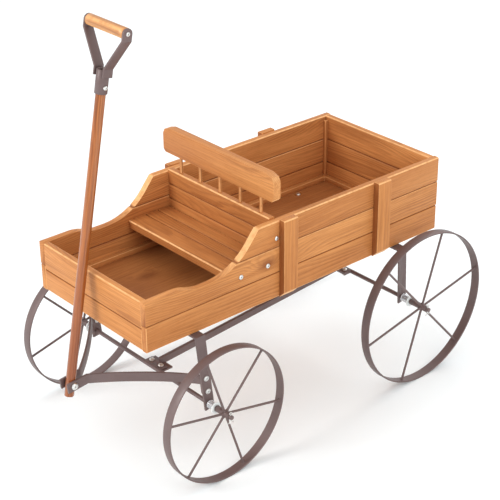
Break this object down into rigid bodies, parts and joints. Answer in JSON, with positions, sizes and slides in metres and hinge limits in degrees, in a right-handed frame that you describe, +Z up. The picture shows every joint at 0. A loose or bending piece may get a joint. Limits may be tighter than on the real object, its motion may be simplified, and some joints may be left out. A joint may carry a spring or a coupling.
{
  "type": "garden cart",
  "caption": "Small wooden garden cart planter: box with bench seat and backrest on four spoked steel wheels, drawn by a pole with a D-grip.",
  "frame": {"origin": "on the ground, under the middle of the overall length and width", "axes": "+Y to the rear, away from the pole, +X to the right-hand side of someone facing the cart's rear, +Z up"},
  "size_m": [0.343, 0.6222, 0.592],
  "materials": {
    "stained_wood": "stained softwood, satin",
    "varnished_pole": "gloss varnish",
    "brown_steel": "brown-grey powder coat, satin",
    "zinc_fasteners": "bright zinc plate",
    "chrome_springs": "bright",
    "nylon": "natural nylon"
  },
  "bodies": {
    "cart": {"side_left_lower": "stained_wood", "side_left_middle": "stained_wood", "side_left_upper": "stained_wood", "side_right_lower": "stained_wood", "side_right_middle": "stained_wood", "side_right_upper": "stained_wood", "front_lower_board": "stained_wood", "front_upper_board": "stained_wood", "rear_lower_board": "stained_wood", "rear_middle_board": "stained_wood", "rear_upper_board": "stained_wood", "floor_front": "stained_wood", "floor_rear": "stained_wood", "floor_cleats": "stained_wood", "corner_posts": "stained_wood", "divider_slat_1": "stained_wood", "divider_slat_2": "stained_wood", "divider_slat_3": "stained_wood", "divider_slat_4": "stained_wood", "seat_slat_front": "stained_wood", "seat_slat_middle": "stained_wood", "seat_slat_rear": "stained_wood", "seat_cleats": "stained_wood", "batten_left_front": "stained_wood", "batten_left_rear": "stained_wood", "batten_right_front": "stained_wood", "batten_right_rear": "stained_wood", "backrest_board": "stained_wood", "spindles": "stained_wood", "side_screws": "zinc_fasteners", "bracket_screws": "zinc_fasteners", "bracket_bolts": "zinc_fasteners", "reach_bolts": "zinc_fasteners", "yoke_bolts": "zinc_fasteners", "pivot_bolt": "zinc_fasteners", "cotter_pins": "zinc_fasteners", "front_bracket": "brown_steel", "rear_bracket": "brown_steel", "front_axle": "brown_steel", "rear_axle": "brown_steel", "reach_bar": "brown_steel", "yoke_arm_left": "brown_steel", "yoke_arm_right": "brown_steel", "springs": "chrome_springs", "washers": "nylon"},
    "wheel_front_left": {"rim_front_left": "brown_steel", "spider_front_left": "brown_steel"},
    "wheel_front_right": {"rim_front_right": "brown_steel", "spider_front_right": "brown_steel"},
    "wheel_rear_left": {"rim_rear_left": "brown_steel", "spider_rear_left": "brown_steel"},
    "wheel_rear_right": {"rim_rear_right": "brown_steel", "spider_rear_right": "brown_steel"},
    "handle": {"pole": "varnished_pole", "grip_sleeve": "brown_steel", "grip_strap_left": "brown_steel", "grip_strap_right": "brown_steel", "grip_dowel": "stained_wood", "grip_screws": "zinc_fasteners"}
  },
  "joints": [
    {"name": "wheel_front_left_spin", "type": "hinge", "parent": "cart", "child": "wheel_front_left", "pos_m": [-0.1575, -0.17125, 0.096], "axis": [1, 0, 0], "continuous": true},
    {"name": "wheel_front_right_spin", "type": "hinge", "parent": "cart", "child": "wheel_front_right", "pos_m": [0.1575, -0.17125, 0.096], "axis": [1, 0, 0], "continuous": true},
    {"name": "wheel_rear_left_spin", "type": "hinge", "parent": "cart", "child": "wheel_rear_left", "pos_m": [-0.1575, 0.19575, 0.115], "axis": [1, 0, 0], "continuous": true},
    {"name": "wheel_rear_right_spin", "type": "hinge", "parent": "cart", "child": "wheel_rear_right", "pos_m": [0.1575, 0.19575, 0.115], "axis": [1, 0, 0], "continuous": true},
    {"name": "handle_swing", "type": "hinge", "parent": "cart", "child": "handle", "pos_m": [0, -0.30075, 0.12185], "axis": [1, 0, 0], "range_deg": [-2, 105]}
  ]
}
